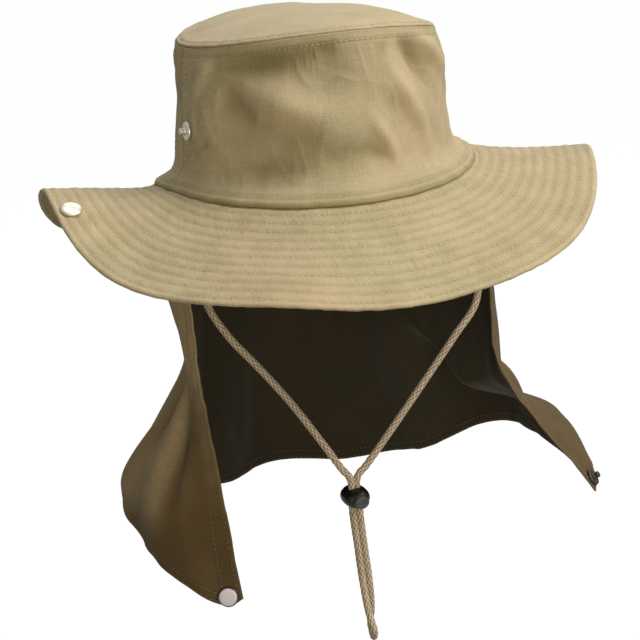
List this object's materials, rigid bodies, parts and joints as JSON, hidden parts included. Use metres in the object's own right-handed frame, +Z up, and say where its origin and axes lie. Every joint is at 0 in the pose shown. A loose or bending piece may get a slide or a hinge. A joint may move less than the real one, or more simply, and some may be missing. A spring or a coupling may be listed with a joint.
{
  "type": "flap sun hat",
  "caption": "Wide-brim cloth sun hat with a neck flap hanging from temple to temple, snaps, and a chin cord with a round push-button cord lock.",
  "frame": {"origin": "middle of the head opening, level with the seam between crown and brim at the front, where a head fills the hat", "axes": "+Z up through the crown's tip, -Y to the front of the hat, +X to the hat's left side as worn, which is the right side seen from the front"},
  "size_m": [0.3006, 0.3211, 0.362],
  "materials": {
    "crown_cloth": "washed khaki cotton",
    "tip_cloth": "washed khaki cotton",
    "brim_cloth": "khaki cotton with rows of topstitching",
    "flap_cloth": "dark khaki cotton",
    "braided_cord": "round braid",
    "snap_metal": "polished",
    "flap_snap_metal": "satin",
    "lock_plastic": "moulded",
    "button_plastic": "moulded"
  },
  "bodies": {
    "hat": {"crown_tip": "tip_cloth", "crown_front": "crown_cloth", "crown_back": "crown_cloth", "brim": "brim_cloth", "flap": "flap_cloth", "brim_snap": "snap_metal", "crown_snap": "snap_metal", "flap_snap_cap": "flap_snap_metal", "flap_snap_stud": "flap_snap_metal", "chin_cord": "braided_cord", "cord_lock_body": "lock_plastic"},
    "lock_button": {"cord_lock_button": "button_plastic"}
  },
  "joints": [
    {"name": "lock_button_press", "type": "slide", "parent": "hat", "child": "lock_button", "axis": [0, 1, 0], "range_m": [0, 0.0026], "stiffness_N_per_m": 400}
  ]
}
